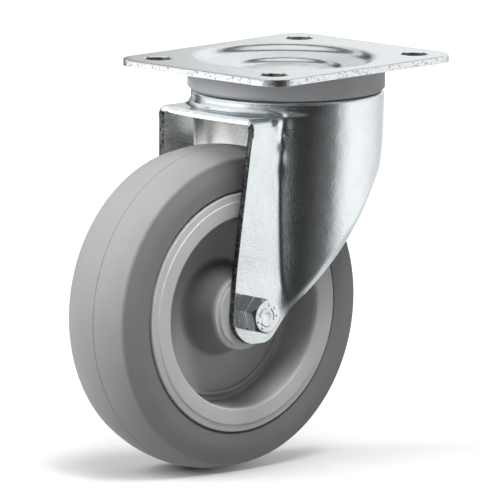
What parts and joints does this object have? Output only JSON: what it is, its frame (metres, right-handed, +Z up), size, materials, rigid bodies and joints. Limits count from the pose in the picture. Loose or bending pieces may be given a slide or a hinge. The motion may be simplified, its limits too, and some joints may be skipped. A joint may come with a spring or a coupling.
{
  "type": "swivel castor",
  "caption": "Swivel castor: a pressed steel fork turns on ball races under a bolt-on top plate and trails a grey rubber-tyred wheel on a roller bearing.",
  "frame": {"origin": "centre of the top plate's upper face, on the swivel axis and in the middle of the bolt holes", "axes": "+Z up along the swivel axis, +X along the plate's long side away from the trailing wheel, +Y along its short side; the bolt's head is on the -Y side"},
  "size_m": [0.1517, 0.085, 0.156],
  "materials": {
    "zinc_plate": "bright bluish zinc plating",
    "zinc_fastener": "bright zinc plating",
    "bare_steel": "turned",
    "bearing_steel": "polished",
    "grey_ring": "moulded",
    "nylon_insert": "moulded",
    "cage_plastic": "moulded",
    "wheel_plastic": "moulded, faintly grained",
    "grey_rubber": "matte non-marking rubber"
  },
  "bodies": {
    "plate": {"top_plate": "zinc_plate", "swivel_dust_ring": "grey_ring", "kingpin": "zinc_plate", "kingpin_spacer": "bare_steel", "lower_race_cup": "zinc_plate", "kingpin_nut": "zinc_plate"},
    "upper_ball_set": {"upper_balls": "bearing_steel"},
    "lower_ball_set": {"lower_balls": "bearing_steel"},
    "fork_frame": {"fork": "zinc_plate", "axle_bolt": "zinc_fastener", "bolt_thin_nut": "zinc_fastener", "lock_nut_washer": "zinc_fastener", "axle_lock_nut": "zinc_fastener", "lock_nut_insert": "nylon_insert", "axle_tube": "bare_steel", "near_thrust_washer": "nylon_insert", "far_thrust_washer": "nylon_insert"},
    "wheel": {"wheel_centre": "wheel_plastic", "tyre": "grey_rubber", "bearing_sleeve": "bare_steel"},
    "roller_set": {"rollers": "bearing_steel", "roller_cage": "cage_plastic"}
  },
  "joints": [
    {"name": "swivel", "type": "hinge", "parent": "plate", "child": "fork_frame", "pos_m": [0, 0, 0], "axis": [0, 0, 1], "continuous": true},
    {"name": "upper_ball_travel", "type": "hinge", "parent": "plate", "child": "upper_ball_set", "pos_m": [0, 0, 0], "axis": [0, 0, 1], "continuous": true},
    {"name": "lower_ball_travel", "type": "hinge", "parent": "plate", "child": "lower_ball_set", "pos_m": [0, 0, 0], "axis": [0, 0, 1], "continuous": true},
    {"name": "wheel_spin", "type": "hinge", "parent": "fork_frame", "child": "wheel", "pos_m": [-0.03681, 0.00374, -0.0935], "axis": [0.1011, 0.9949, 0], "continuous": true},
    {"name": "roller_travel", "type": "hinge", "parent": "fork_frame", "child": "roller_set", "pos_m": [-0.03681, 0.00374, -0.0935], "axis": [0.1011, 0.9949, 0], "continuous": true}
  ],
  "couplings": [
    {"joint": "upper_ball_travel", "follows": "swivel", "ratio": 0.5},
    {"joint": "lower_ball_travel", "follows": "swivel", "ratio": 0.5},
    {"joint": "roller_travel", "follows": "wheel_spin", "ratio": 0.625}
  ]
}
